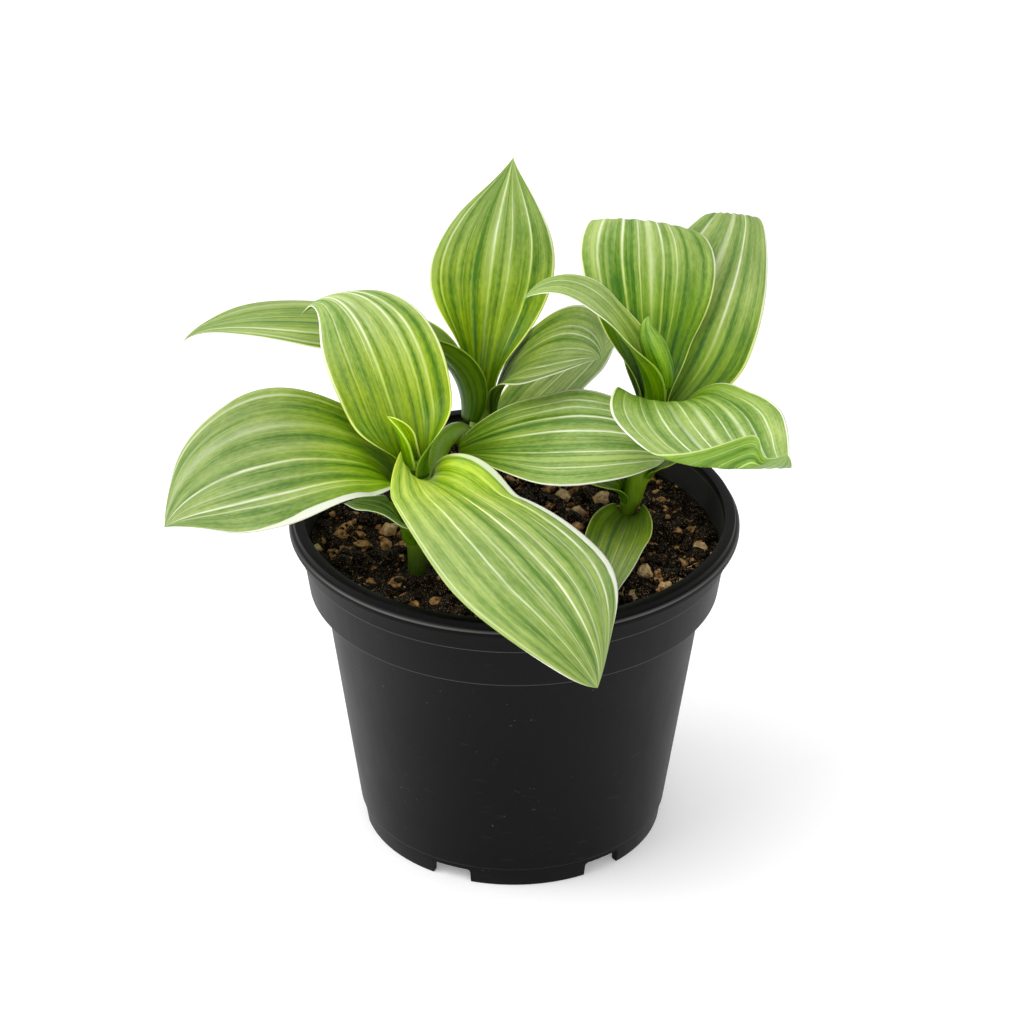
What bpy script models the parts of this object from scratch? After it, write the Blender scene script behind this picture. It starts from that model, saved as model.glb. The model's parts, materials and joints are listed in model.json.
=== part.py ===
"""Potted tradescantia: a black nursery pot, its soil, two branching plants and eighteen striped leaves.

Metres, +Z up. The origin is the middle of the whole plant's outline on the surface that it stands on.
The front of the plant, where one leaf hangs over the rim, looks along -Y.
Lengths below are millimetres from the middle of the pot's foot. MM turns them into metres, and the
last step moves everything from the pot's middle to the plant's middle, PLANT_MIDDLE.
"""
import math
import random
from dataclasses import dataclass

import bmesh
import bpy
from mathutils import Euler, Matrix, Vector, noise
from mathutils.geometry import interpolate_bezier

MM = 0.001
UP = Vector((0, 0, 1))
MERGE = 0.01 * MM
PLANT_MIDDLE = (-10.6, -7.8, 0.0)

SHARP_ANGLE = math.radians(35)

# Pot
POT_STEPS = 48
POT_WALL = 1.3
POT_EDGE = 0.4
FOOT_RADIUS = 44.0
WALL_TOP_RADIUS = 55.3
COLLAR_BOTTOM = 78.0
COLLAR_RADIUS = 59.4
LEDGE_HEIGHT = 90.4
LEDGE_RADIUS = 62.0
FLANGE_BOTTOM = 96.6
FLANGE_RADIUS = 65.0
LIP_HEIGHT = 100.7
LIP_OUTER_RADIUS = 63.7
LIP_INNER_RADIUS = 60.6
FLOOR_UNDERSIDE = 6.0
FLOOR_THICKNESS = 1.5
FOOT_BAND = 6.0
FOOT_RING = 2.2
NOTCHES = 6
NOTCH_FIRST_ANGLE = -113.5
NOTCH_WIDTH = 12.0
NOTCH_HEIGHT = 4.6
DRAIN_RADIUS = 4.0
DRAIN_CIRCLE = 31.0
DRAIN_SEGMENTS = 12

# Soil
SOIL_TOP = 90.0
SOIL_GAP = 0.5
SOIL_RINGS = (0.93, 0.78, 0.62, 0.45, 0.28, 0.12)
SOIL_STEPS = 48
SOIL_BUMP = 1.6
SOIL_BUMP_SIZE = 9.0
SOIL_FINE_BUMP = 0.8
SOIL_FINE_SIZE = 4.0
HOLE_GAP = 0.7
HOLE_BOTTOM = 76.6
HOLE_SEGMENTS = 16
CHIPS = 26
CHIP_SEED = 11
CHIP_CIRCLE = 50.0
CHIP_CLEAR = 8.0
CHIP_SIZE = (1.4, 2.6)
CHIP_BREADTH = (0.6, 1.0)
CHIP_HEIGHT = (0.5, 0.8)
CHIP_TILT = 0.5
STEM_FOOT = 77.0

# Stems
STEM_BEVEL = 2
STEM_RESOLUTION = 5

# Leaves
BLADE_THICKNESS = 0.7
BLADE_LENGTH_CELLS = 16
BLADE_WIDTH_CELLS = 8
RIB_SAMPLES = 97
LATEST_OPENING = 0.8
FLAT_BEND = 0.1


@dataclass
class Stem:
    """A stem's middle line, from its foot in the soil to its top, with the radius at each point."""
    points: tuple
    radii: tuple

    def at_height(self, height):
        """The point of the middle line at this height, and the line's direction there."""
        for low, high in zip(self.points, self.points[1:]):
            if height <= high[2] or high is self.points[-1]:
                share = (height - low[2]) / (high[2] - low[2])
                return Vector(low).lerp(Vector(high), share), (Vector(high) - Vector(low)).normalized()
        return Vector(self.points[-1]), UP


@dataclass
class Leaf:
    """One leaf. Directions are degrees in plan: 0 is +X, 90 is +Y. Lengths are millimetres."""
    name: str
    stem: str
    height: float                # of its foot, on the stem
    heading: float               # the side of the stem that it grows from
    rise: float                  # how far it is drawn up along the stem before it bends away
    middle: tuple                # the rib's middle point
    tip: tuple                   # the rib's end
    width: float                 # measured round the blade
    widest: float = 0.45         # share of the length where it is widest
    point: float = 1.0           # above 1 the tip is drawn out, below 1 it is blunt
    clasp: float = 4.0           # radius of the sheath round the stem
    wrap: float = 100.0          # degrees that each half of the sheath goes round the stem
    cup: tuple = (10.0, -5.0)    # degrees that each half is bent up, past the sheath and at the tip
    opens: float = 22.0          # length over which the sheath opens into the blade
    roll: tuple = (0.0, 0.0)     # turn of the blade about its rib, at the foot and at the tip
    swell: float = 1.0           # above 1 the blade widens late, below 1 it widens early
    start: tuple = None          # the foot's place, for a leaf that stands off its stem


STEMS = {
    "left": Stem(((-27.5, -17, STEM_FOOT), (-27.5, -17, 92), (-28, -15, 106), (-28.5, -12, 123)),
                 (2.8, 2.8, 2.8, 1.8)),
    "middle": Stem(((-11.5, 27, STEM_FOOT), (-11.5, 27, 92), (-11, 29.5, 106), (-9.8, 32, 121.5)),
                   (3.2, 3.2, 3.0, 2.3)),
    "right": Stem(((33, 15.5, STEM_FOOT), (33, 15.5, 91), (36.5, 14.5, 106), (42.3, 12.5, 137)),
                  (2.6, 2.6, 3.2, 1.8)),
}
BRANCH_POINTS = ((-11.4, 28, 101), (-15, 21, 114), (-21.5, 7, 117.5), (-27.9, -14.5, 104))
BRANCH_RADII = (2.6, 3.0, 2.8, 2.2)

LEAVES = (
    Leaf("left_leaf_low", "left", 100, 215, 5, (-34, -24.5, 112.5), (-48, -24, 116), 14, widest=0.42,
         clasp=3.8, wrap=75, cup=(10, 0), opens=20, roll=(0, -12)),
    Leaf("left_leaf_big", "left", 113, 181, 18, (-61.5, -21, 129), (-99, -21, 106), 46.5, widest=0.465,
         point=1.07, clasp=5.7, wrap=90, cup=(21, -16), opens=18, roll=(0, -33), swell=0.75),
    Leaf("left_leaf_front", "left", 118.3, -70, 9, (-1.5, -52.5, 120.5), (23, -79, 90), 60, widest=0.54,
         point=1.0, clasp=5.0, wrap=95, cup=(0, -22), opens=20, roll=(0, 6), swell=0.68),
    Leaf("left_leaf_back", "left", 118, 91, 2, (-37, 2.5, 148), (-62, 24, 150.5), 34, widest=0.5,
         point=1.6, clasp=3.9, wrap=175, cup=(2, -25), opens=21, roll=(0, 46), swell=1.4),
    Leaf("left_bud", "left", 121, 160, 6, (-32, -12, 130), (-36, -13, 138), 10, clasp=2.95, wrap=130,
         cup=(110, 90)),
    Leaf("middle_leaf_low", "middle", 98, 35, 8, (14, 49, 118), (33, 57, 129), 28, clasp=4.4, wrap=100,
         cup=(15, 0)),
    Leaf("middle_leaf_left", "middle", 115, 197, 39, (-53, 32.5, 145.5), (-96, 24, 141.5), 45, widest=0.4,
         point=1.35, clasp=5.2, wrap=66, cup=(-13, 5), opens=58, roll=(0, -29), swell=0.92),
    Leaf("middle_leaf_right", "middle", 116.5, -12, 22, (10, 22, 139.8), (24, 8.5, 145), 39, widest=0.6,
         clasp=4.6, wrap=46, cup=(27, 4), opens=22, roll=(0, -3), swell=1.5),
    Leaf("middle_leaf_up", "middle", 120, 100, 18.5, (-8, 45.5, 149.5), (-1, 44, 192), 37.5, widest=0.5,
         point=1.25, clasp=3.4, wrap=110, cup=(11, 17), opens=32, roll=(0, 7), swell=1.85),
    Leaf("crossing_leaf", "middle", 108, -15, 3, (13.5, -1, 124.5), (43, -0.5, 118), 33.5, widest=0.48,
         point=0.8, clasp=3.0, wrap=60, cup=(7, -13), opens=30, roll=(17, 36), swell=0.87,
         start=(-16.0, 8.0, 115.0)),
    Leaf("right_leaf_low", "right", 91.5, -88, 5, (27, -23.5, 97), (27.5, -39, 92), 19.5, widest=0.25,
         point=0.76, clasp=3.7, wrap=90, cup=(16, 0), opens=23, roll=(0, 3), swell=1.13),
    Leaf("right_leaf_side", "right", 97, 170, 8, (19, 13, 109), (10, 18, 124), 20, widest=0.5, clasp=3.8,
         wrap=80, cup=(30, 0)),
    Leaf("right_leaf_small", "right", 105, -10, 4, (45, 10, 112), (50, 8, 113), 9, clasp=4.2, wrap=60,
         cup=(20, 0)),
    Leaf("right_leaf_front", "right", 126.6, -69, 24, (52, -11.5, 132.7), (75, -36, 139), 57, widest=0.4,
         point=0.82, clasp=6.8, wrap=70, cup=(17, -2), opens=13.5, roll=(0, -15), swell=1.05),
    Leaf("right_leaf_far", "right", 121, 80, 7.5, (58, 49, 153), (55.5, 71, 148), 38, widest=0.3,
         point=1.08, clasp=3.8, wrap=75, cup=(8, -9), opens=14, roll=(0, -8)),
    Leaf("right_leaf_back", "right", 127, 120, 4.3, (38.5, 34.5, 159.5), (35, 53, 155), 43, widest=0.56,
         point=1.05, clasp=4.6, wrap=80, cup=(3.5, -15), opens=20, roll=(0, -18), swell=1.5),
    Leaf("right_leaf_left", "right", 130, 185, 12, (27, 10.5, 157.5), (2, 5, 166), 20.5, widest=0.42,
         point=1.1, clasp=3.8, wrap=110, cup=(23, 9), opens=29, roll=(0, -8)),
    Leaf("right_bud", "right", 135.5, -90, 8, (39, 10, 148), (38, 15, 156), 16, clasp=2.9, wrap=140,
         cup=(130, 90)),
)


# Helpers

def mm(x, y, z):
    """A point given in millimetres, in metres."""
    return Vector((x, y, z)) * MM


def make_material(name, colour, roughness):
    """A plain Principled material."""
    material = bpy.data.materials.new(name)
    material.use_nodes = True
    shader = material.node_tree.nodes["Principled BSDF"]
    shader.inputs["Base Color"].default_value = (*colour, 1.0)
    shader.inputs["Roughness"].default_value = roughness
    shader.inputs["Metallic"].default_value = 0.0
    material.diffuse_color = (*colour, 1.0)
    return material


def add_object(name, mesh, collection, material=None):
    """Put a mesh in the scene under this name."""
    obj = bpy.data.objects.new(name, mesh)
    collection.objects.link(obj)
    if material is not None:
        mesh.materials.clear()
        mesh.materials.append(material)
    return obj


def add_cutter(name, bm):
    """Put a helper body for a Boolean into the cutters' collection."""
    mesh = bpy.data.meshes.new(name)
    bm.to_mesh(mesh)
    bm.free()
    obj = add_object(name, mesh, CUTTERS)
    obj.display_type = "WIRE"
    obj.hide_render = True
    return obj


def apply_modifiers(obj):
    """Replace the object's mesh by its evaluated one, and drop its modifiers."""
    depsgraph = bpy.context.evaluated_depsgraph_get()
    mesh = bpy.data.meshes.new_from_object(obj.evaluated_get(depsgraph))
    obj.modifiers.clear()
    obj.data = mesh


def boolean_with(obj, tools, operation):
    """Cut the tools out of the object, or fuse them to it, and remove the tools."""
    group = bpy.data.collections.new(obj.name + "_" + operation.lower())
    for tool in tools:
        group.objects.link(tool)
    boolean = obj.modifiers.new(operation.lower(), "BOOLEAN")
    boolean.operation = operation
    boolean.operand_type = "COLLECTION"
    boolean.collection = group
    boolean.solver = "EXACT"
    apply_modifiers(obj)
    for tool in tools:
        bpy.data.objects.remove(tool)
    bpy.data.collections.remove(group)


def smooth_by_angle(obj):
    """Shade the object smooth, with its sharper edges kept."""
    obj.data.shade_smooth()
    obj.data.set_sharp_from_angle(angle=SHARP_ANGLE)


def ease(x):
    """Smooth step from 0 to 1."""
    x = min(max(x, 0.0), 1.0)
    return x * x * (3 - 2 * x)


# Pot

def pot_profile():
    """The pot's section as (radius, height), from the floor's middle over the lip and down the outside."""
    floor_top = FLOOR_UNDERSIDE + FLOOR_THICKNESS
    slope = (WALL_TOP_RADIUS - FOOT_RADIUS) / COLLAR_BOTTOM
    ledge_top = COLLAR_BOTTOM + POT_WALL
    edge = POT_EDGE
    return (
        (0.0, floor_top),
        (FOOT_RADIUS + slope * floor_top - POT_WALL, floor_top),
        (WALL_TOP_RADIUS - POT_WALL, ledge_top),
        (COLLAR_RADIUS - POT_WALL, ledge_top),
        (LIP_INNER_RADIUS, LIP_HEIGHT - edge),
        (LIP_INNER_RADIUS + edge, LIP_HEIGHT),
        (LIP_OUTER_RADIUS - edge, LIP_HEIGHT),
        (LIP_OUTER_RADIUS, LIP_HEIGHT - edge),
        (LIP_OUTER_RADIUS, LIP_HEIGHT - 4 * edge),
        (FLANGE_RADIUS - edge, LIP_HEIGHT - 5 * edge),
        (FLANGE_RADIUS, LIP_HEIGHT - 6 * edge),
        (FLANGE_RADIUS, FLANGE_BOTTOM + edge),
        (FLANGE_RADIUS - edge, FLANGE_BOTTOM),
        (LEDGE_RADIUS + 2 * edge, FLANGE_BOTTOM),
        (LEDGE_RADIUS, LEDGE_HEIGHT + edge),
        (LEDGE_RADIUS - 2 * edge, LEDGE_HEIGHT),
        (COLLAR_RADIUS, COLLAR_BOTTOM + edge),
        (COLLAR_RADIUS - edge, COLLAR_BOTTOM),
        (WALL_TOP_RADIUS, COLLAR_BOTTOM),
        (FOOT_RADIUS + slope * FOOT_BAND + edge, FOOT_BAND + edge),
        (FOOT_RADIUS + slope * FOOT_BAND, FOOT_BAND),
        (FOOT_RADIUS, edge),
        (FOOT_RADIUS - edge, 0.0),
        (FOOT_RADIUS - FOOT_RING, 0.0),
        (FOOT_RADIUS - FOOT_RING, FLOOR_UNDERSIDE),
        (0.0, FLOOR_UNDERSIDE),
    )


def build_pot():
    """The pot: a turned profile with notches in its foot and drain holes in its floor."""
    profile = pot_profile()
    mesh = bpy.data.meshes.new("pot")
    points = [mm(radius, 0.0, height) for radius, height in profile]
    mesh.from_pydata(points, [(i, i + 1) for i in range(len(points) - 1)], [])
    pot = add_object("pot", mesh, PLANT, POT_PLASTIC)
    screw = pot.modifiers.new("turn", "SCREW")
    screw.steps = POT_STEPS
    screw.render_steps = POT_STEPS
    screw.use_merge_vertices = True
    screw.merge_threshold = MERGE
    screw.use_normal_calculate = True
    apply_modifiers(pot)
    cutters = []
    for index in range(NOTCHES):
        angle = math.radians(NOTCH_FIRST_ANGLE + index * 360.0 / NOTCHES)
        bm = bmesh.new()
        bmesh.ops.create_cube(bm, size=1.0)
        bmesh.ops.scale(bm, verts=bm.verts, vec=mm(4 * FOOT_RING, NOTCH_WIDTH, 2 * NOTCH_HEIGHT))
        notch = add_cutter("notch_cutter", bm)
        notch.location = mm(FOOT_RADIUS * math.cos(angle), FOOT_RADIUS * math.sin(angle), 0.0)
        notch.rotation_euler = Euler((0, 0, angle))
        cutters.append(notch)
        bm = bmesh.new()
        bmesh.ops.create_cone(bm, cap_ends=True, segments=DRAIN_SEGMENTS, radius1=DRAIN_RADIUS * MM,
                              radius2=DRAIN_RADIUS * MM, depth=4 * FLOOR_THICKNESS * MM)
        drain = add_cutter("drain_cutter", bm)
        drain.location = mm(DRAIN_CIRCLE * math.cos(angle), DRAIN_CIRCLE * math.sin(angle), FLOOR_UNDERSIDE)
        cutters.append(drain)
    boolean_with(pot, cutters, "DIFFERENCE")
    smooth_by_angle(pot)
    return pot


# Soil

def inner_radius(height):
    """Radius of the pot's inside at this height."""
    profile = pot_profile()
    for (r_low, low), (r_high, high) in zip(profile[1:4], profile[2:5]):
        if low <= height <= high and high > low:
            return r_low + (r_high - r_low) * (height - low) / (high - low)
    return r_high


def soil_height(x, y):
    """Height of the soil's uneven surface, in millimetres."""
    place = Vector((x, y, 0.0))
    coarse = SOIL_BUMP * noise.noise(place / SOIL_BUMP_SIZE)
    fine = SOIL_FINE_BUMP * noise.noise(place / SOIL_FINE_SIZE)
    return SOIL_TOP + coarse + fine


def build_soil():
    """The soil: a turned body with an uneven top, holes for the stems, and chips of bark fused to it."""
    bottom = FLOOR_UNDERSIDE + FLOOR_THICKNESS + SOIL_GAP
    ledge = COLLAR_BOTTOM + POT_WALL
    edge = inner_radius(SOIL_TOP) - SOIL_GAP
    profile = [(0.0, SOIL_TOP)]
    profile += [(edge * share, SOIL_TOP) for share in reversed(SOIL_RINGS)]
    profile += [
        (edge, SOIL_TOP - SOIL_BUMP),
        (COLLAR_RADIUS - POT_WALL - SOIL_GAP, ledge + SOIL_GAP),
        (WALL_TOP_RADIUS - POT_WALL - SOIL_GAP, ledge + SOIL_GAP),
        (inner_radius(bottom) - SOIL_GAP, bottom),
        (0.0, bottom),
    ]
    bm = bmesh.new()
    verts = [bm.verts.new(mm(radius, 0.0, height)) for radius, height in profile]
    edges = [bm.edges.new(pair) for pair in zip(verts, verts[1:])]
    bmesh.ops.spin(bm, geom=verts + edges, cent=(0, 0, 0), axis=(0, 0, 1), angle=2 * math.pi,
                   steps=SOIL_STEPS, use_merge=True)
    bmesh.ops.remove_doubles(bm, verts=bm.verts, dist=MERGE)
    for vert in bm.verts:
        if abs(vert.co.z - SOIL_TOP * MM) < 0.1 * MM:
            vert.co.z = soil_height(vert.co.x / MM, vert.co.y / MM) * MM
    bmesh.ops.recalc_face_normals(bm, faces=bm.faces)
    mesh = bpy.data.meshes.new("soil")
    bm.to_mesh(mesh)
    bm.free()
    soil = add_object("soil", mesh, PLANT, SOIL)
    boolean_with(soil, [soil_chip(index) for index in range(CHIPS)], "UNION")
    holes = []
    for stem in STEMS.values():
        x, y, _ = stem.points[0]
        bm = bmesh.new()
        radius = (stem.radii[0] + HOLE_GAP) * MM
        bmesh.ops.create_cone(bm, cap_ends=True, segments=HOLE_SEGMENTS, radius1=radius, radius2=radius,
                              depth=2 * (SOIL_TOP - HOLE_BOTTOM) * MM)
        hole = add_cutter("hole_cutter", bm)
        hole.location = mm(x, y, SOIL_TOP)
        holes.append(hole)
    boolean_with(soil, holes, "DIFFERENCE")
    smooth_by_angle(soil)
    return soil


def soil_chip(index):
    """One angular chip of bark or pumice, half sunk in the soil, clear of the stems and the wall."""
    rng = random.Random(CHIP_SEED + index)
    while True:
        angle = rng.uniform(0, 2 * math.pi)
        distance = CHIP_CIRCLE * math.sqrt(rng.random())
        x, y = distance * math.cos(angle), distance * math.sin(angle)
        feet = [math.hypot(x - stem.points[0][0], y - stem.points[0][1]) for stem in STEMS.values()]
        if min(feet) > CHIP_CLEAR:
            break
    bm = bmesh.new()
    bmesh.ops.create_icosphere(bm, subdivisions=1, radius=MM)
    length = rng.uniform(*CHIP_SIZE)
    size = (length, length * rng.uniform(*CHIP_BREADTH), length * rng.uniform(*CHIP_HEIGHT))
    bmesh.ops.scale(bm, verts=bm.verts, vec=size)
    chip = add_cutter("chip", bm)
    chip.location = mm(x, y, soil_height(x, y))
    tilt = (rng.uniform(-CHIP_TILT, CHIP_TILT), rng.uniform(-CHIP_TILT, CHIP_TILT))
    chip.rotation_euler = Euler((*tilt, rng.uniform(0, math.pi)))
    return chip


# Stems

def stem_tube(name, points, radii, material):
    """A tapered round tube through the points, as a mesh."""
    curve = bpy.data.curves.new(name, "CURVE")
    curve.dimensions = "3D"
    curve.bevel_depth = MM
    curve.bevel_resolution = STEM_BEVEL
    curve.resolution_u = STEM_RESOLUTION
    curve.use_fill_caps = True
    spline = curve.splines.new("BEZIER")
    spline.bezier_points.add(len(points) - 1)
    for knot, point, radius in zip(spline.bezier_points, points, radii):
        knot.co = mm(*point)
        knot.radius = radius
        knot.handle_left_type = "AUTO"
        knot.handle_right_type = "AUTO"
    guide = add_object(name + "_curve", curve, CUTTERS)
    bpy.context.view_layer.update()
    mesh = bpy.data.meshes.new_from_object(guide.evaluated_get(bpy.context.evaluated_depsgraph_get()))
    bpy.data.objects.remove(guide)
    bm = bmesh.new()
    bm.from_mesh(mesh)
    bmesh.ops.remove_doubles(bm, verts=bm.verts, dist=MERGE)
    bmesh.ops.recalc_face_normals(bm, faces=bm.faces)
    bm.to_mesh(mesh)
    bm.free()
    return add_object(name, mesh, PLANT, material)


def build_stems():
    """The forked stem of the left and middle shoots, and the stem of the right shoot."""
    forked = stem_tube("forked_stem", STEMS["middle"].points, STEMS["middle"].radii, STEM_GREEN)
    left = stem_tube("left_stem", STEMS["left"].points, STEMS["left"].radii, STEM_GREEN)
    branch = stem_tube("branch", BRANCH_POINTS, BRANCH_RADII, STEM_GREEN)
    boolean_with(forked, [left, branch], "UNION")
    right = stem_tube("right_stem", STEMS["right"].points, STEMS["right"].radii, STEM_GREEN)
    smooth_by_angle(forked)
    smooth_by_angle(right)
    return forked, right


# Leaves

def rib_frames(leaf):
    """Frames (share of the length, point, side, face) along a leaf's rib, and the rib's length.

    The rib is one cubic curve. It leaves the stem's side along the stem, passes the leaf's middle point
    half way and ends at the tip. The side direction starts level and is carried along without turning,
    then the blade's own roll is added.
    """
    heading = math.radians(leaf.heading)
    out = Vector((math.cos(heading), math.sin(heading), 0.0))
    if leaf.start is None:
        axis, along = STEMS[leaf.stem].at_height(leaf.height)
        base = axis + out * leaf.clasp
    else:
        base = Vector(leaf.start)
        along = (out + UP).normalized()
    lift = base + along * leaf.rise
    middle = Vector(leaf.middle)
    tip = Vector(leaf.tip)
    reach = (8 * middle - base - tip) / 3 - lift
    points = interpolate_bezier(base, lift, reach, tip, RIB_SAMPLES)
    lengths = [0.0]
    for first, second in zip(points, points[1:]):
        lengths.append(lengths[-1] + (second - first).length)
    side = UP.cross(out)
    frames = []
    for index, point in enumerate(points):
        before = points[max(index - 1, 0)]
        after = points[min(index + 1, len(points) - 1)]
        tangent = (after - before).normalized()
        side = (side - tangent * side.dot(tangent)).normalized()
        face = tangent.cross(side)
        share = lengths[index] / lengths[-1]
        turn = math.radians(leaf.roll[0] + (leaf.roll[1] - leaf.roll[0]) * ease(share))
        rolled_side = side * math.cos(turn) + face * math.sin(turn)
        rolled_face = face * math.cos(turn) - side * math.sin(turn)
        frames.append((share, point, rolled_side, rolled_face))
    return frames, lengths[-1]


def frame_at(frames, share):
    """The point, side and face at this share of the rib's length."""
    for low, high in zip(frames, frames[1:]):
        if share <= high[0]:
            part = (share - low[0]) / (high[0] - low[0])
            return tuple(first.lerp(second, part) for first, second in zip(low[1:], high[1:]))
    return frames[-1][1:]


def half_width(leaf, share):
    """Half the blade's width at this share of its length, measured round its cross-section."""
    sheath = leaf.clasp * math.radians(leaf.wrap)
    widest = leaf.width / 2
    if share < leaf.widest:
        return sheath + (widest - sheath) * math.sin(math.pi / 2 * share / leaf.widest) ** leaf.swell
    closing = (share - leaf.widest) / (1 - leaf.widest)
    return widest * max(math.cos(math.pi / 2 * closing), 0.0) ** leaf.point


def half_angle(leaf, length, share):
    """Angle that each half of the cross-section bends through, from the sheath to the tip."""
    opened = min(leaf.opens / length, LATEST_OPENING)
    if share < opened:
        degrees = leaf.wrap + (leaf.cup[0] - leaf.wrap) * ease(share / opened)
    else:
        degrees = leaf.cup[0] + (leaf.cup[1] - leaf.cup[0]) * ease((share - opened) / (1 - opened))
    return math.radians(degrees if abs(degrees) > FLAT_BEND else FLAT_BEND)


def blade_point(leaf, frames, length, share, across):
    """A point of the blade's middle surface; across runs from -1 at one margin to 1 at the other."""
    point, side, face = frame_at(frames, share)
    angle = half_angle(leaf, length, share)
    radius = half_width(leaf, share) / angle
    sideways = radius * math.sin(angle * across)
    lifted = radius * (1 - math.cos(angle * across))
    return point + side * sideways + face * lifted


def build_leaf(leaf):
    """One leaf: a grid laid along the rib, split in triangles, and thickened."""
    frames, length = rib_frames(leaf)
    bm = bmesh.new()
    bmesh.ops.create_grid(bm, x_segments=BLADE_WIDTH_CELLS, y_segments=BLADE_LENGTH_CELLS, size=1.0)
    for vert in bm.verts:
        across = vert.co.x
        share = (vert.co.y + 1) / 2
        vert.co = blade_point(leaf, frames, length, share, across) * MM
    bmesh.ops.remove_doubles(bm, verts=bm.verts, dist=MERGE)
    bmesh.ops.triangulate(bm, faces=bm.faces)
    mesh = bpy.data.meshes.new(leaf.name)
    bm.to_mesh(mesh)
    bm.free()
    mesh.shade_smooth()
    blade = add_object(leaf.name, mesh, PLANT, LEAF_GREEN)
    solidify = blade.modifiers.new("thickness", "SOLIDIFY")
    solidify.thickness = BLADE_THICKNESS * MM
    solidify.offset = 0.0
    return blade


# Build

for old in list(bpy.data.objects):
    bpy.data.objects.remove(old)

PLANT = bpy.data.collections.new("potted_tradescantia")
CUTTERS = bpy.data.collections.new("cutters")
bpy.context.scene.collection.children.link(PLANT)
bpy.context.scene.collection.children.link(CUTTERS)
CUTTERS.hide_render = True

POT_PLASTIC = make_material("pot_plastic", (0.012, 0.012, 0.013), 0.5)
SOIL = make_material("soil", (0.03, 0.022, 0.016), 0.95)
STEM_GREEN = make_material("stem_green", (0.12, 0.25, 0.02), 0.45)
LEAF_GREEN = make_material("leaf_green", (0.25, 0.42, 0.1), 0.4)

build_pot()
build_soil()
build_stems()
for LEAF in LEAVES:
    build_leaf(LEAF)
for PIECE in PLANT.objects:
    PIECE.data.transform(Matrix.Translation(-mm(*PLANT_MIDDLE)))
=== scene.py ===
# %% [markdown]
# # A potted tradescantia
#
# The real thing is a young variegated tradescantia in a black nursery pot: three shoots, eighteen broad
# striped leaves, and a dark bark mix for soil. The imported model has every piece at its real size. This
# script gives each one the finer shape and the finish that the plain solids lack.

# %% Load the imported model
import json
import random
from dataclasses import dataclass
from math import cos, exp, hypot, pi, radians, sin, sqrt

import bmesh
import bpy
from mathutils import Euler, Matrix, Vector, noise
from mathutils.geometry import interpolate_bezier

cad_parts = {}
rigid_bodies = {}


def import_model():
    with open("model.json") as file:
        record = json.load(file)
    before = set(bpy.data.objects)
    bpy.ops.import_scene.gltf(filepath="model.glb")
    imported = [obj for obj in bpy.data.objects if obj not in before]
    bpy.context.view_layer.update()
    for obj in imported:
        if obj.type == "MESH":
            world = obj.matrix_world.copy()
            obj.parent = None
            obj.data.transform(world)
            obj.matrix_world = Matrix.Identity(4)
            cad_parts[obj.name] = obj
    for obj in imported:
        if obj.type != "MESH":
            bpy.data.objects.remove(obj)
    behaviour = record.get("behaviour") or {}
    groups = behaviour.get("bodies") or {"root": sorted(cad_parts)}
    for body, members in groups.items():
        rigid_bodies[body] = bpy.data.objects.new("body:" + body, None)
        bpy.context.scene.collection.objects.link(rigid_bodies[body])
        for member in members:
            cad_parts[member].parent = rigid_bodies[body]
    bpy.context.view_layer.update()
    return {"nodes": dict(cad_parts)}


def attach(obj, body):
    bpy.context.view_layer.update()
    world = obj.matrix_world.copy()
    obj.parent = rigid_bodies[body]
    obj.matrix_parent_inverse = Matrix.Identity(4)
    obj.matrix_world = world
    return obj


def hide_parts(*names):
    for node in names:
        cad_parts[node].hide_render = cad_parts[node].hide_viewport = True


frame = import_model()
print("packed model:", len(frame["nodes"]), "nodes")

# %% [markdown]
# ## One place for the sizes
#
# Sizes are written in millimetres from the middle of the pot's foot, because that is how a pot and a
# plant are measured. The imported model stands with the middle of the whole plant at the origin, so one
# small function moves each point there and turns it into metres.

# %% Millimetres from the pot's foot, to metres in the model
MM = 0.001
UP = Vector((0, 0, 1))
PLANT_MIDDLE = Vector((-10.6, -7.8, 0.0))


def place(x, y, z):
    """A point given from the middle of the pot's foot, as a point of the model."""
    return (Vector((x, y, z)) - PLANT_MIDDLE) * MM


print("middle of the pot's foot:", [round(value, 4) for value in place(0, 0, 0)], "m")

# %% [markdown]
# ## Putting things in the scene
#
# Each finished piece sits at the origin with its place in its mesh, rides on the one body that a plant
# has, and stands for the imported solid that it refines.

# %% Helpers for pieces
def add_object(name, data):
    """Put a mesh, a camera or a lamp in the scene under this name."""
    data.name = name
    obj = bpy.data.objects.new(name, data)
    bpy.context.scene.collection.objects.link(obj)
    return obj


def close_up(bm):
    """Fill the holes of a bmesh and turn its faces outward."""
    bmesh.ops.holes_fill(bm, edges=[edge for edge in bm.edges if edge.is_boundary], sides=0)
    bmesh.ops.recalc_face_normals(bm, faces=bm.faces)


def finish_mesh(bm):
    """Turn a bmesh into a mesh and free it."""
    mesh = bpy.data.meshes.new("mesh")
    bm.to_mesh(mesh)
    bm.free()
    return mesh


def dress(obj, node, material):
    """Give a finished piece its material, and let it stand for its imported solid."""
    obj.data.materials.clear()
    obj.data.materials.append(material)
    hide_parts(node)
    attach(obj, "root")
    faces = sum(len(face.vertices) - 2 for face in obj.data.polygons)
    print(f"{obj.name}: {faces} triangles")


# %% [markdown]
# ## The camera
#
# The photograph was taken with a long lens from about 1.1 m, looking down by nearly 30 degrees, and a
# hair off level. A long lens flattens the pot's ellipses, so a short one would spoil every proportion.

# %% Camera
PICTURE_PIXELS = 1024
CAMERA_ELEVATION = radians(29.56)
CAMERA_DISTANCE = 1111.5
CAMERA_AIM_HEIGHT = 100.0
CAMERA_ROLL = radians(0.42)
FOCAL_PIXELS = 3854.5
SENSOR = 36.0
SHIFT_PIXELS = -2.38

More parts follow.
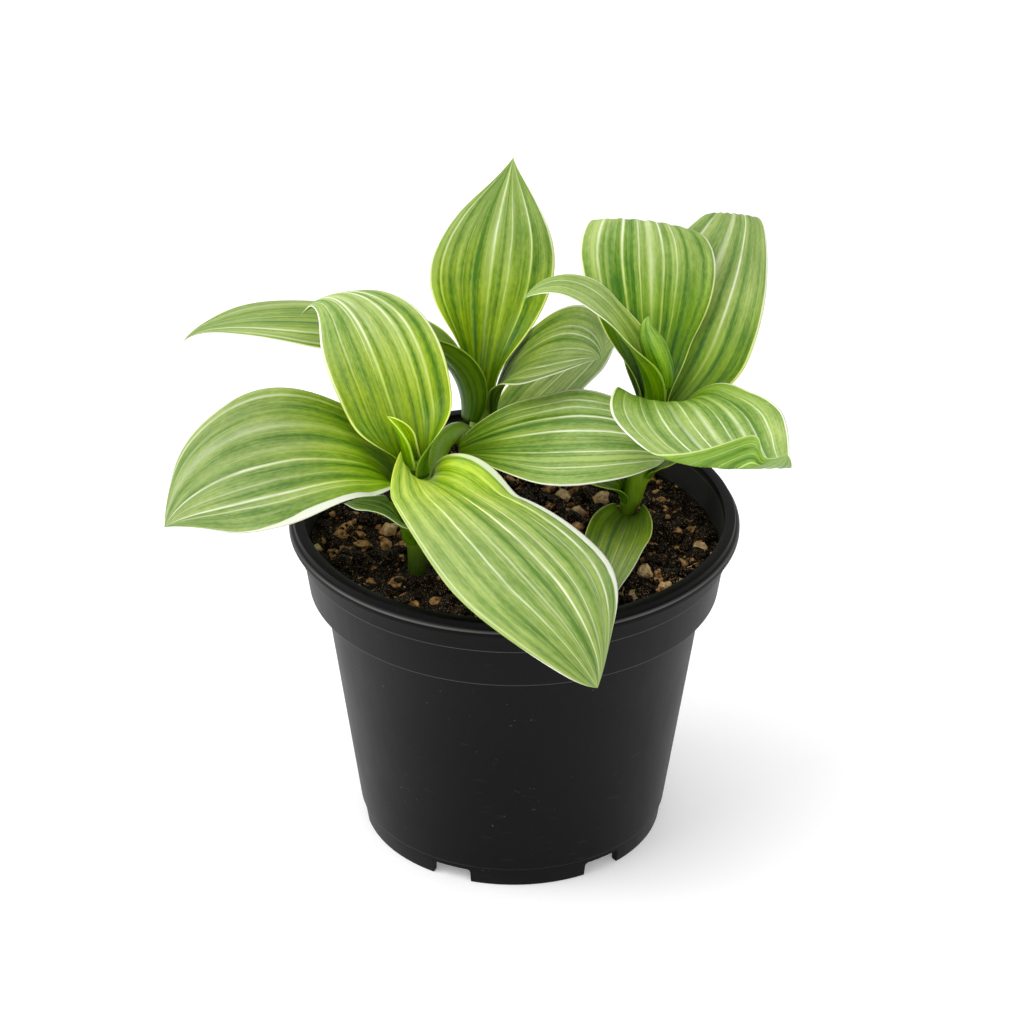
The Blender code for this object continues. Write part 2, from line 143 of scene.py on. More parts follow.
camera = add_object("camera", bpy.data.cameras.new("camera"))
camera.data.sensor_width = SENSOR
camera.data.lens = FOCAL_PIXELS * SENSOR / PICTURE_PIXELS
camera.data.shift_x = SHIFT_PIXELS / PICTURE_PIXELS
aim = Matrix.Translation(place(0, 0, CAMERA_AIM_HEIGHT))
turn = Matrix.Rotation(pi / 2 - CAMERA_ELEVATION, 4, "X") @ Matrix.Rotation(CAMERA_ROLL, 4, "Z")
camera.matrix_world = aim @ turn @ Matrix.Translation(UP * CAMERA_DISTANCE * MM)
bpy.context.scene.camera = camera
print("camera lens", round(camera.data.lens, 1), "mm")

# %% [markdown]
# ## A small language for materials
#
# A striped leaf is mostly arithmetic on two numbers: how far along the blade a point lies, and how far
# across. Drawn by hand, that is a hundred boxes and noodles. Wrapping a socket in a class whose operators
# add the Math nodes lets the same thing be written as a line of Python.

# %% Sockets with arithmetic
def operator(operation):
    """A method that adds one Math node for this operation."""
    return lambda *values: values[0].math(operation, *values)


class Wire:
    """A socket of a material's node tree. Arithmetic on it adds Math nodes."""

    def __init__(self, tree, socket):
        self.tree = tree
        self.socket = socket

    def node(self, kind, sockets, output=0, **settings):
        """Add a node with these settings, and give its sockets their values or links."""
        made = self.tree.nodes.new("ShaderNode" + kind)
        for name, value in settings.items():
            setattr(made, name, value)
        for name, value in sockets.items():
            if isinstance(value, Wire):
                self.tree.links.new(value.socket, made.inputs[name])
            else:
                made.inputs[name].default_value = value
        return Wire(self.tree, made.outputs[output])

    def math(self, operation, *values):
        return self.node("Math", dict(enumerate(values)), operation=operation)

    __add__ = __radd__ = operator("ADD")
    __mul__ = __rmul__ = operator("MULTIPLY")
    __sub__ = operator("SUBTRACT")
    __gt__ = operator("GREATER_THAN")
    __abs__ = operator("ABSOLUTE")

    def __rsub__(self, other):
        return self.math("SUBTRACT", other, self)

    def step(self, low, high):
        """0 below low, 1 above high, and a smooth climb between them."""
        sockets = {0: self, 1: low, 2: high, 3: 0.0, 4: 1.0}
        return self.node("MapRange", sockets, interpolation_type="SMOOTHSTEP")

    def clip(self):
        return self.node("Clamp", {0: self, 1: 0.0, 2: 1.0})

    def mix(self, first, second):
        """Blend two colours by this mask."""
        return self.node("Mix", {0: self, 6: first, 7: second}, 2, data_type="RGBA")

    def times(self, tint):
        """This colour, multiplied by another."""
        sockets = {0: 1.0, 6: self, 7: tint}
        return self.node("Mix", sockets, 2, data_type="RGBA", blend_type="MULTIPLY")

    def squash(self, z):
        """This vector with its height multiplied."""
        return self.node("VectorMath", {0: self, 1: (1, 1, z)}, operation="MULTIPLY")

    def axis(self, number):
        """One coordinate of this vector."""
        return self.node("SeparateXYZ", {0: self}, number)

    def noise(self, scale, detail=2.0, roughness=0.5):
        """Noise at this vector, from 0 to 1 about its middle."""
        sockets = {"Vector": self, "Scale": scale, "Detail": detail, "Roughness": roughness}
        return self.node("TexNoise", sockets)

    def ramp(self, stops):
        """A level for this number, from ramp stops of (position, level)."""
        made = self.node("ValToRGB", {0: self})
        elements = made.socket.node.color_ramp.elements
        while len(elements) < len(stops):
            elements.new(1.0)
        for element, (position, level) in zip(elements, stops):
            element.position = position
            element.color = (level, level, level, 1.0)
        return made


def colour(red, green, blue):
    """A colour as a paint chart gives it, 0 to 255, for a shader."""
    return tuple((part / 255) ** 2.2 for part in (red, green, blue)) + (1.0,)


def new_material(name):
    """A material, and a wire of its node tree to start expressions from."""
    material = bpy.data.materials.new(name)
    material.use_nodes = True
    return material, Wire(material.node_tree, None)


def finish_material(material, base, roughness, bump, constants):
    """Link colour, roughness and a bump (height, strength, distance), and set the shader's constants."""
    tree = material.node_tree
    shader = tree.nodes["Principled BSDF"]
    normal = base.node("Bump", dict(zip(("Height", "Strength", "Distance"), bump)))
    for name, wire in (("Base Color", base), ("Roughness", roughness), ("Normal", normal)):
        tree.links.new(wire.socket, shader.inputs[name])
    for name, value in constants.items():
        shader.inputs[name].default_value = value
    return material


def object_place(start):
    """The point of the model being shaded, in metres."""
    return start.node("TexCoord", {}, 3)


# %% [markdown]
# ## The pot
#
# A nursery pot is thin black polypropylene from an injection mould: a tapered wall, a stepped collar that
# lets pots nest, a rim with a double lip, and a foot with six notches for water. It is a turned shape, so
# its section is spun. The edges are then bevelled, because moulded plastic has no knife edges and the
# small round of each lip is what catches the light.

# %% Pot section
POT_STEPS = 160
POT_WALL = 1.3
POT_ROUND = 0.35
FOOT_RADIUS = 44.0
WALL_TOP_RADIUS = 55.3
COLLAR_BOTTOM = 78.0
COLLAR_RADIUS = 59.4
LEDGE_HEIGHT = 90.4
LEDGE_RADIUS = 62.0
FLANGE_BOTTOM = 96.6
FLANGE_TOP = 98.3
FLANGE_RADIUS = 65.0
LIP_HEIGHT = 100.7
LIP_OUTER_RADIUS = 63.7
LIP_INNER_RADIUS = 60.6
FLOOR_UNDERSIDE = 6.0
FLOOR_THICKNESS = 1.5
FOOT_BAND = 6.0
FOOT_STEP = 0.45
FOOT_RING = 2.2
SHARP_TURN = radians(28)
MERGE = 0.004 * MM

floor_top = FLOOR_UNDERSIDE + FLOOR_THICKNESS
wall_slope = (WALL_TOP_RADIUS - FOOT_RADIUS) / COLLAR_BOTTOM
foot_inside = FOOT_RADIUS + wall_slope * floor_top - POT_WALL
wall_inside = WALL_TOP_RADIUS - POT_WALL
collar_inside = COLLAR_RADIUS - POT_WALL
collar_floor = COLLAR_BOTTOM + POT_WALL
POT_SECTION = (
    (0.0, floor_top),
    (foot_inside, floor_top),
    (wall_inside, collar_floor),
    (collar_inside, collar_floor),
    (LIP_INNER_RADIUS, LIP_HEIGHT),
    (LIP_OUTER_RADIUS, LIP_HEIGHT),
    (LIP_OUTER_RADIUS + 0.1, FLANGE_TOP + 0.6),
    (FLANGE_RADIUS, FLANGE_TOP),
    (FLANGE_RADIUS, FLANGE_BOTTOM),
    (LEDGE_RADIUS + 0.7, FLANGE_BOTTOM),
    (LEDGE_RADIUS, LEDGE_HEIGHT),
    (LEDGE_RADIUS - 0.8, LEDGE_HEIGHT - 0.2),
    (COLLAR_RADIUS, COLLAR_BOTTOM),
    (WALL_TOP_RADIUS, COLLAR_BOTTOM),
    (FOOT_RADIUS + wall_slope * FOOT_BAND + FOOT_STEP, FOOT_BAND + FOOT_STEP),
    (FOOT_RADIUS + wall_slope * FOOT_BAND, FOOT_BAND),
    (FOOT_RADIUS, 0.0),
    (FOOT_RADIUS - FOOT_RING, 0.0),
    (FOOT_RADIUS - FOOT_RING, FLOOR_UNDERSIDE),
    (0.0, FLOOR_UNDERSIDE),
)


def turned(section, steps):
    """Spin a section, given as (radius, height), about the pot's axis."""
    bm = bmesh.new()
    verts = [bm.verts.new(place(radius, 0.0, height)) for radius, height in section]
    edges = [bm.edges.new(pair) for pair in zip(verts, verts[1:])]
    bmesh.ops.spin(bm, geom=verts + edges, cent=place(0, 0, 0), axis=(0, 0, 1), angle=2 * pi,
                   steps=steps, use_merge=True)
    bmesh.ops.remove_doubles(bm, verts=bm.verts, dist=MERGE)
    bmesh.ops.recalc_face_normals(bm, faces=bm.faces)
    return bm


bm = turned(POT_SECTION, POT_STEPS)
rings = [edge for edge in bm.edges if edge.calc_face_angle(0.0) > SHARP_TURN]
bmesh.ops.bevel(bm, geom=rings, offset=POT_ROUND * MM, segments=2, profile=0.5, affect="EDGES",
                clamp_overlap=True, material=-1)
pot = add_object("pot_body", finish_mesh(bm))
print("pot section:", len(POT_SECTION), "corners,", len(rings), "edges rounded")

# %% [markdown]
# The notches and the drain holes are cut with a Boolean: a box and a round cutter at each of six places.

# %% Pot notches and drain holes
NOTCHES = 6
NOTCH_ROUND = 1.0
NOTCH_FIRST_ANGLE = -113.5
NOTCH_WIDTH = 12.0
NOTCH_HEIGHT = 4.6
DRAIN_RADIUS = 4.0
DRAIN_CIRCLE = 31.0

cutters = bpy.data.collections.new("pot_cutters")
for index in range(NOTCHES):
    turn = Matrix.Rotation(radians(NOTCH_FIRST_ANGLE + index * 360.0 / NOTCHES), 4, "Z")
    notch = bmesh.new()
    bmesh.ops.create_cube(notch, size=MM)
    bmesh.ops.scale(notch, verts=notch.verts, vec=(4 * FOOT_RING, NOTCH_WIDTH, 2 * NOTCH_HEIGHT))
    corners = []
    for edge in notch.edges:
        along = edge.verts[1].co - edge.verts[0].co
        if max(abs(along.y), abs(along.z)) < MERGE and edge.verts[0].co.z > 0:
            corners.append(edge)
    bmesh.ops.bevel(notch, geom=corners, offset=NOTCH_ROUND * MM, segments=3, profile=0.5,
                    affect="EDGES", material=-1)
    outward = Matrix.Translation(place(0, 0, 0)) @ turn @ Matrix.Translation((FOOT_RADIUS * MM, 0, 0))
    bmesh.ops.transform(notch, verts=notch.verts, matrix=outward)
    drain = bmesh.new()
    bmesh.ops.create_cone(drain, cap_ends=True, segments=32, radius1=DRAIN_RADIUS * MM,
                          radius2=DRAIN_RADIUS * MM, depth=4 * FLOOR_THICKNESS * MM)
    middle = turn @ Vector((DRAIN_CIRCLE, 0, FLOOR_UNDERSIDE))
    bmesh.ops.translate(drain, verts=drain.verts, vec=place(*middle))
    for bm in (notch, drain):
        cutters.objects.link(bpy.data.objects.new("cutter", finish_mesh(bm)))
cut = pot.modifiers.new("cut", "BOOLEAN")
cut.operation = "DIFFERENCE"
cut.operand_type = "COLLECTION"
cut.collection = cutters
cut.solver = "EXACT"
depsgraph = bpy.context.evaluated_depsgraph_get()
pot.data = bpy.data.meshes.new_from_object(pot.evaluated_get(depsgraph))
pot.modifiers.clear()
for cutter in list(cutters.objects):
    bpy.data.objects.remove(cutter)
bpy.data.collections.remove(cutters)
pot.data.shade_smooth()
pot.data.set_sharp_from_angle(angle=SHARP_TURN)
print("notches and drain holes cut:", 2 * NOTCHES)

# %% [markdown]
# Black polypropylene isn't black paint. Its surface has a faint grain from the mould, broad soft
# reflections, a few scratches and a few specks of dried soil. Thin pale lines along the ridges are painted
# highlights, on edges that are also rubbed where they meet other pots. The inside of the rim has a painted
# sheen.

# %% Pot plastic
def pot_plastic():
    """Black moulded plastic, scratched and specked with dried soil, with painted highlights and a painted
    sheen.
    """
    material, start = new_material("pot_black_plastic")
    point = object_place(start)
    grain = point.noise(2600)
    cloud = point.noise(38, 4)
    flow = point.squash(0.12).noise(420, 3)
    specks = point.noise(900, 1).step(0.735, 0.78) * point.noise(60).step(0.5, 0.62)
    scratch = point.squash(7).noise(160, 1, 0.3).step(0.70, 0.74) * cloud.step(0.45, 0.6)
    base = (cloud * 0.7 + flow * 0.3).clip().mix(colour(2, 2, 2), colour(8, 8, 7))
    height = point.axis(2)
    # Painted highlights: thin pale lines at the collar, the ledge and the flange, on edges that are also
    # rubbed.
    for edge, strength in ((COLLAR_BOTTOM, 0.5), (LEDGE_HEIGHT, 0.45), (FLANGE_TOP, 0.6)):
        line = height.step((edge - 0.3) * MM, edge * MM) * (1 - height.step(edge * MM, (edge + 0.5) * MM))
        base = (line * (cloud * 0.6 + 0.5) * strength).mix(base, colour(120, 120, 118))
    # Painted sheen: the inside of the rim, above the soil, is made paler.
    sockets = {0: point.squash(0), 1: place(0, 0, 0)}
    radius = start.node("VectorMath", sockets, 1, operation="DISTANCE")
    painted_rim_sheen = 1 - radius.step((LIP_INNER_RADIUS - 0.4) * MM, LIP_INNER_RADIUS * MM)
    painted_rim_sheen = painted_rim_sheen * height.step((LEDGE_HEIGHT - 3) * MM, (LEDGE_HEIGHT - 1) * MM)
    base = (painted_rim_sheen * (cloud * 0.5 + 0.5)).mix(base, colour(56, 56, 54))
    base = (scratch * 0.3).mix(base, colour(48, 48, 47))
    base = (specks * 0.5).mix(base, colour(84, 78, 68))
    roughness = 0.36 + cloud * 0.12 + flow * 0.06
    bump = (grain * 0.6 + flow * 0.4, 0.1, 0.2 * MM)
    return finish_material(material, base, roughness, bump, {"Specular IOR Level": 0.085})


dress(pot, "pot", pot_plastic())

# %% [markdown]
# ## The soil
#
# The mix is peat crumbs with bark chips and a few pale pieces of pumice, filled to a finger below the rim.
# A displaced disc alone looks like cloth, because real crumbs cast their own small shadows. So noise
# raises the surface first, and then 2,600 crumbs and chips are laid on it.

# %% Soil surface
SOIL_TOP = 90.0
SOIL_GAP = 0.5
SOIL_STEPS = 150
SOIL_RINGS = 46
SOIL_BUMP = 1.6
SOIL_BUMP_SIZE = 9.0
SOIL_FINE_BUMP = 0.8
SOIL_FINE_SIZE = 4.0
CRUMB_BUMP = 1.2
CRUMB_SIZE = 1.7
CRUMB_SLICE = 7.3
FINER = 2.3


def soil_height(x, y):
    """Height of the soil's uneven surface, in millimetres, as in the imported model."""
    spot = Vector((x, y, 0.0))
    coarse = SOIL_BUMP * noise.noise(spot / SOIL_BUMP_SIZE)
    fine = SOIL_FINE_BUMP * noise.noise(spot / SOIL_FINE_SIZE)
    return SOIL_TOP + coarse + fine


def crumbled(x, y):
    """The same surface with its small crumbs."""
    spot = Vector((x, y, CRUMB_SLICE)) / CRUMB_SIZE
    return soil_height(x, y) + CRUMB_BUMP * (noise.noise(spot) + 0.5 * noise.noise(spot * FINER))


collar_slope = (LIP_INNER_RADIUS - collar_inside) / (LIP_HEIGHT - collar_floor)
soil_edge = collar_inside + (SOIL_TOP - collar_floor) * collar_slope - SOIL_GAP
section = [(soil_edge * ring / SOIL_RINGS, SOIL_TOP) for ring in range(SOIL_RINGS + 1)]
section += [
    (soil_edge, SOIL_TOP - 2.5),
    (collar_inside - SOIL_GAP, collar_floor + SOIL_GAP),
    (wall_inside - SOIL_GAP, collar_floor + SOIL_GAP),
    (foot_inside - SOIL_GAP, floor_top + SOIL_GAP),
    (0.0, floor_top + SOIL_GAP),
]
soil_bm = turned(section, SOIL_STEPS)
for vert in soil_bm.verts:
    if abs(vert.co.z - SOIL_TOP * MM) < 0.1 * MM:
        spot = vert.co / MM + PLANT_MIDDLE
        vert.co.z = crumbled(spot.x, spot.y) * MM
print("soil radius", round(soil_edge, 1), "mm")

# %% [markdown]
# Crumbs, bark chips and pumice differ in size, proportion and colour, so each kind is one row of a table.
# Roots and fibres are thin bent tubes that lie on the surface.

# %% Crumbs, chips and fibres
STEM_SPOTS = ((-27.5, -17.0), (-11.5, 27.0), (33.0, 15.5))
STEM_CLEAR = 4.5
SOIL_SEED = 5
GRAINS = (  # kind, how many, lengths, breadths and heights against the length, subdivisions
    ("crumb", 1150, (0.7, 1.7), (0.6, 1.0), (0.5, 0.9), 1),
    ("crumb", 240, (1.7, 3.4), (0.7, 1.0), (0.6, 0.9), 2),
    ("bark", 300, (0.8, 2.7), (0.4, 0.8), (0.3, 0.6), 2),
    ("pumice", 34, (1.1, 2.7), (0.75, 1.0), (0.7, 0.95), 2),
    ("bark", 900, (0.35, 1.1), (0.3, 0.8), (0.3, 0.7), 1),
)
SHADES = {"crumb": 0.1, "bark": 0.5, "pumice": 0.9}
FIBRES = 46
FIBRE_RADIUS = 0.16
FIBRE_STEPS = 7
FIBRE_STEP = 1.1

rng = random.Random(SOIL_SEED)
soil_bm.verts.layers.float.new("shade")


def soil_spot(margin):
    """A seeded place on the soil, clear of the stems and the wall."""
    while True:
        angle = rng.uniform(0, 2 * pi)
        distance = (soil_edge - margin) * sqrt(rng.random())
        x, y = distance * cos(angle), distance * sin(angle)
        if min(hypot(x - sx, y - sy) for sx, sy in STEM_SPOTS) > STEM_CLEAR + margin:
            return x, y


def lay(piece_bm, tone):
    """Give a small piece its shade and add it to the soil."""
    shade = piece_bm.verts.layers.float.new("shade")
    for vert in piece_bm.verts:
        vert[shade] = tone
    mesh = finish_mesh(piece_bm)
    soil_bm.from_mesh(mesh)
    bpy.data.meshes.remove(mesh)


def add_grain(kind, lengths, breadths, heights, detail):
    """One crumb or chip: a small ball pulled out of round, half sunk in the soil."""
    length = rng.uniform(*lengths)
    size = Vector((length, length * rng.uniform(*breadths), length * rng.uniform(*heights)))
    x, y = soil_spot(length)
    bm = bmesh.new()
    bmesh.ops.create_icosphere(bm, subdivisions=detail, radius=MM)
    seed = Vector([rng.uniform(0, 50) for _ in range(3)])
    for vert in bm.verts:
        vert.co *= 1 + 0.55 * noise.noise(vert.co / MM * 1.1 + seed)
    tilt = Euler((rng.uniform(-0.6, 0.6), rng.uniform(-0.6, 0.6), rng.uniform(0, pi)))
    spot = place(x, y, crumbled(x, y) + 0.3 * size.z)
    bmesh.ops.transform(bm, verts=bm.verts, matrix=Matrix.LocRotScale(spot, tilt, size))
    lay(bm, SHADES[kind] + rng.uniform(-0.08, 0.08))


def add_fibre():
    """One thin root or bark fibre: a four-sided tube drawn out along a bent line."""
    x, y = soil_spot(6.0)
    heading = rng.uniform(0, 2 * pi)
    bend = rng.uniform(-0.35, 0.35)
    bm = bmesh.new()
    ring = bmesh.ops.create_circle(bm, segments=4, radius=FIBRE_RADIUS * MM)["verts"]
    edges = list(bm.edges)
    upright = Matrix.Rotation(heading, 4, "Z") @ Matrix.Rotation(pi / 2, 4, "Y")
    upright = Matrix.Translation(place(x, y, crumbled(x, y) + 0.4)) @ upright
    bmesh.ops.transform(bm, verts=ring, matrix=upright)
    for _ in range(FIBRE_STEPS):
        heading += bend
        x += FIBRE_STEP * cos(heading)
        y += FIBRE_STEP * sin(heading)
        grown = bmesh.ops.extrude_edge_only(bm, edges=edges)["geom"]
        ring = [item for item in grown if isinstance(item, bmesh.types.BMVert)]
        edges = [item for item in grown if isinstance(item, bmesh.types.BMEdge)]
        middle = sum((vert.co for vert in ring), Vector()) / len(ring)
        goal = place(x, y, max(crumbled(x, y), soil_height(x, y)) + 0.5)
        bmesh.ops.translate(bm, verts=ring, vec=goal - middle)
        bmesh.ops.rotate(bm, verts=ring, cent=goal, matrix=Matrix.Rotation(bend, 3, "Z"))
    close_up(bm)
    lay(bm, rng.uniform(0.55, 1.0))


for kind, count, lengths, breadths, heights, detail in GRAINS:
    for _ in range(count):
        add_grain(kind, lengths, breadths, heights, detail)
for _ in range(FIBRES):
    add_fibre()
soil = add_object("soil_mix", finish_mesh(soil_bm))
soil.data.shade_smooth()
soil.data.set_sharp_from_angle(angle=radians(40))
print("grains:", sum(row[1] for row in GRAINS), "and fibres:", FIBRES)

# %% [markdown]
# One finish covers the whole mix. The number that each grain carries picks its colour, from wet black
# peat to brown bark and tan pumice, and noise breaks each colour up.

# %% Soil finish
def soil_finish():
    """Damp peat, bark and pumice, told apart by the number on each grain."""
    material, start = new_material("soil_peat_and_bark")
    point = object_place(start)
    kind = start.node("Attribute", {}, 2, attribute_name="shade")
    mottle = point.noise(700, 4)
    grit = point.noise(2500)
    peat = mottle.step(0.42, 0.72).mix(colour(3, 3, 3), colour(50, 37, 24))
    bark = mottle.step(0.3, 0.7).mix(colour(92, 54, 26), colour(228, 174, 114))
    pumice = mottle.step(0.3, 0.7).mix(colour(198, 148, 88), colour(250, 222, 172))
    base = kind.step(0.25, 0.35).mix(peat, bark)
    base = kind.step(0.68, 0.78).mix(base, pumice)
    base = (grit.step(0.61, 0.67) * 0.8).mix(base, colour(196, 160, 116))
    bump = (mottle + grit, 1.0, 0.9 * MM)
    return finish_material(material, base, 0.42 + mottle * 0.4, bump, {"Specular IOR Level": 0.12})


dress(soil, "soil", soil_finish())

# %% [markdown]
# ## The stems
#
# A tradescantia stem is a smooth juicy cane with a slight swelling at each joint, where a leaf's sheath
# begins. One extrude for each step along a curve lets the radius change at every joint.

# %% Stem lines
STEM_FOOT = 80.0
STEM_SIDES = 28
STEM_STEP = 1.2
JOINT_SWELL = 0.10
JOINT_LENGTH = 1.6


@dataclass
class Stem:
    """A stem's middle line, from its foot in the soil to its top, with the radius at each point."""
    points: tuple
    radii: tuple

    def at_height(self, height):
        """The point of the middle line at this height, and the line's direction there."""
        spans = list(zip(self.points, self.points[1:]))
        low, high = next((span for span in spans if height <= span[1][2]), spans[-1])
        low, high = Vector(low), Vector(high)
        return low.lerp(high, (height - low.z) / (high.z - low.z)), (high - low).normalized()


STEMS = {
    "left": Stem(((-27.5, -17, STEM_FOOT), (-27.5, -17, 92), (-28, -15, 106), (-28.5, -12, 123)),
                 (2.8, 2.8, 2.8, 1.8)),
    "middle": Stem(((-11.5, 27, STEM_FOOT), (-11.5, 27, 92), (-11, 29.5, 106), (-9.8, 32, 121.5)),
                   (3.2, 3.2, 3.0, 2.3)),
    "right": Stem(((33, 15.5, STEM_FOOT), (33, 15.5, 91), (36.5, 14.5, 106), (42.3, 12.5, 137)),
                  (2.6, 2.6, 3.2, 1.8)),
}
BRANCH = Stem(((-11.4, 28, 101), (-15, 21, 114), (-21.5, 7, 117.5), (-27.9, -14.5, 104)),
              (2.6, 3.0, 2.8, 2.2))


def smooth_line(points):
    """The points joined by one smooth curve, with the place between knots as its last number."""
    knots = [Vector(point) for point in (points[0], *points, points[-1])]
    line = []
    for index, (before, first, second, after) in enumerate(zip(knots, knots[1:], knots[2:], knots[3:])):
        count = max(int((second - first).length / STEM_STEP), 2)
        pulled_first = first + (second - before) / 6
        pulled_second = second - (after - first) / 6
        curve = interpolate_bezier(first, pulled_first, pulled_second, second, count + 1)
        line += [(point, index + step / count) for step, point in enumerate(curve[:-1])]
    return line + [(knots[-1], len(points) - 1.0)]


def headings(points):
    """The direction of a line at each of its points."""
    padded = [points[0], *points, points[-1]]
    return [(after - before).normalized() for before, after in zip(padded, padded[2:])]


def grow_stem(bm, stem, joints):
    """Grow one cane into the bmesh, ring by ring, with a swelling at each joint's height."""
    line = smooth_line(stem.points)
    ring = bmesh.ops.create_circle(bm, cap_ends=True, segments=STEM_SIDES, radius=MM)["verts"]
    cap = ring[0].link_faces[0]
    before, facing, size = Vector((0, 0, 0)), UP, 1.0
    for (point, knot), heading in zip(line, headings([row[0] for row in line])):
        low = min(int(knot), len(stem.radii) - 2)
        radius = stem.radii[low] + (stem.radii[low + 1] - stem.radii[low]) * (knot - low)
        for joint in joints:
            radius *= 1 + JOINT_SWELL * exp(-((point.z - joint) / JOINT_LENGTH) ** 2)
        if knot:
            grown = bmesh.ops.extrude_face_region(bm, geom=[cap])["geom"]
            bmesh.ops.delete(bm, geom=[cap], context="FACES_ONLY")
            ring = [item for item in grown if isinstance(item, bmesh.types.BMVert)]
            cap = next(item for item in grown if isinstance(item, bmesh.types.BMFace))
        goal = place(*point)
        swing = facing.rotation_difference(heading)
        grow = Matrix.LocRotScale(goal, swing, Vector([radius / size] * 3)) @ Matrix.Translation(-before)
        bmesh.ops.transform(bm, verts=ring, matrix=grow)
        before, facing, size = goal, heading, radius


def stem_object(name, canes):
    """One object of several canes, each with its joints."""
    bm = bmesh.new()
    for stem, joints in canes:
        grow_stem(bm, stem, joints)
    bmesh.ops.recalc_face_normals(bm, faces=bm.faces)
    obj = add_object(name, finish_mesh(bm))
    obj.data.shade_smooth()
    return obj


# %% [markdown]
# The cane's skin is yellow-green and finely lined along its length, and duller low down where the sheaths
# shade it.

# %% Stem finish
SHADED_BELOW = 87.0
LIT_ABOVE = 112.0


def stem_skin(name, painted_shade):
    """Juicy green cane with fine long lines, and painted shade low down."""
    material, start = new_material(name)
    point = object_place(start)
    lines = point.squash(0.08).noise(1500)
    patches = point.noise(90)
    tone = (lines * 0.5 + patches * 0.8 - 0.15).clip()
    base = tone.mix(colour(66, 112, 10), colour(150, 184, 40))
    # Painted shade: the cane is darkened low down, where the sheaths shade it.
    shaded = 1 - point.axis(2).step(SHADED_BELOW * MM, LIT_ABOVE * MM)
    base = (shaded * painted_shade).mix(base, colour(20, 30, 10))
    return finish_material(material, base, 0.34 + lines * 0.14, (lines, 0.25, 0.2 * MM), {
        "Subsurface Weight": 0.15, "Subsurface Radius": (0.8, 1.0, 0.2), "Subsurface Scale": 1.5 * MM})


forked = stem_object("forked_cane", ((STEMS["middle"], (98, 108, 115)), (STEMS["left"], (100, 113)),
                                     (BRANCH, (105, 116))))
dress(forked, "forked_stem", stem_skin("forked_cane_skin", 0.85))
right_cane = stem_object("right_cane", ((STEMS["right"], (97, 105, 121, 130)),))
dress(right_cane, "right_stem", stem_skin("right_cane_skin", 0.25))

# %% [markdown]
# ## The leaves
#
# A tradescantia leaf starts as a sheath rolled round the stem, opens, bends away, is widest near its
# middle and ends in a point. Its veins run from foot to tip without branching. So a leaf is laid out by
# two numbers, the share of its length and the place across it, and the same two later paint the stripes.
#
# Each row below is one leaf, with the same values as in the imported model. Only the pleats, the waves and
# the fold are added here.

# %% Leaf values
@dataclass
class Leaf:
    """One leaf. Directions are degrees in plan: 0 is +X, 90 is +Y. Lengths are millimetres."""
    name: str  # its first word names its stem, unless it has a start of its own
    height: float  # of its foot, on the stem
    heading: float  # the side of the stem that it grows from
    rise: float  # how far it is drawn up along the stem before it bends away
    middle: tuple  # the rib's middle point
    tip: tuple  # the rib's end
    width: float  # measured round the blade
    widest: float = 0.45  # share of the length where it is widest
    point: float = 1.0  # above 1 the tip is drawn out, below 1 it is blunt
    clasp: float = 4.0  # radius of the sheath round the stem
    wrap: float = 100.0  # degrees that each half of the sheath goes round the stem
    cup: tuple = (10.0, -5.0)  # degrees that each half is bent up, past the sheath and at the tip
    opens: float = 22.0  # length over which the sheath opens into the blade
    roll: tuple = (0.0, 0.0)  # turn of the blade about its rib, at the foot and at the tip
    swell: float = 1.0  # above 1 the blade widens late, below 1 it widens early
    start: tuple = None  # the foot's place, for a leaf that stands off its stem
    pleat: float = 0.16  # depth of the folds along the veins
    wave: float = 0.5  # swing of the margins
    fold: tuple = None  # a margin that is turned up: side, from, to, width and degrees


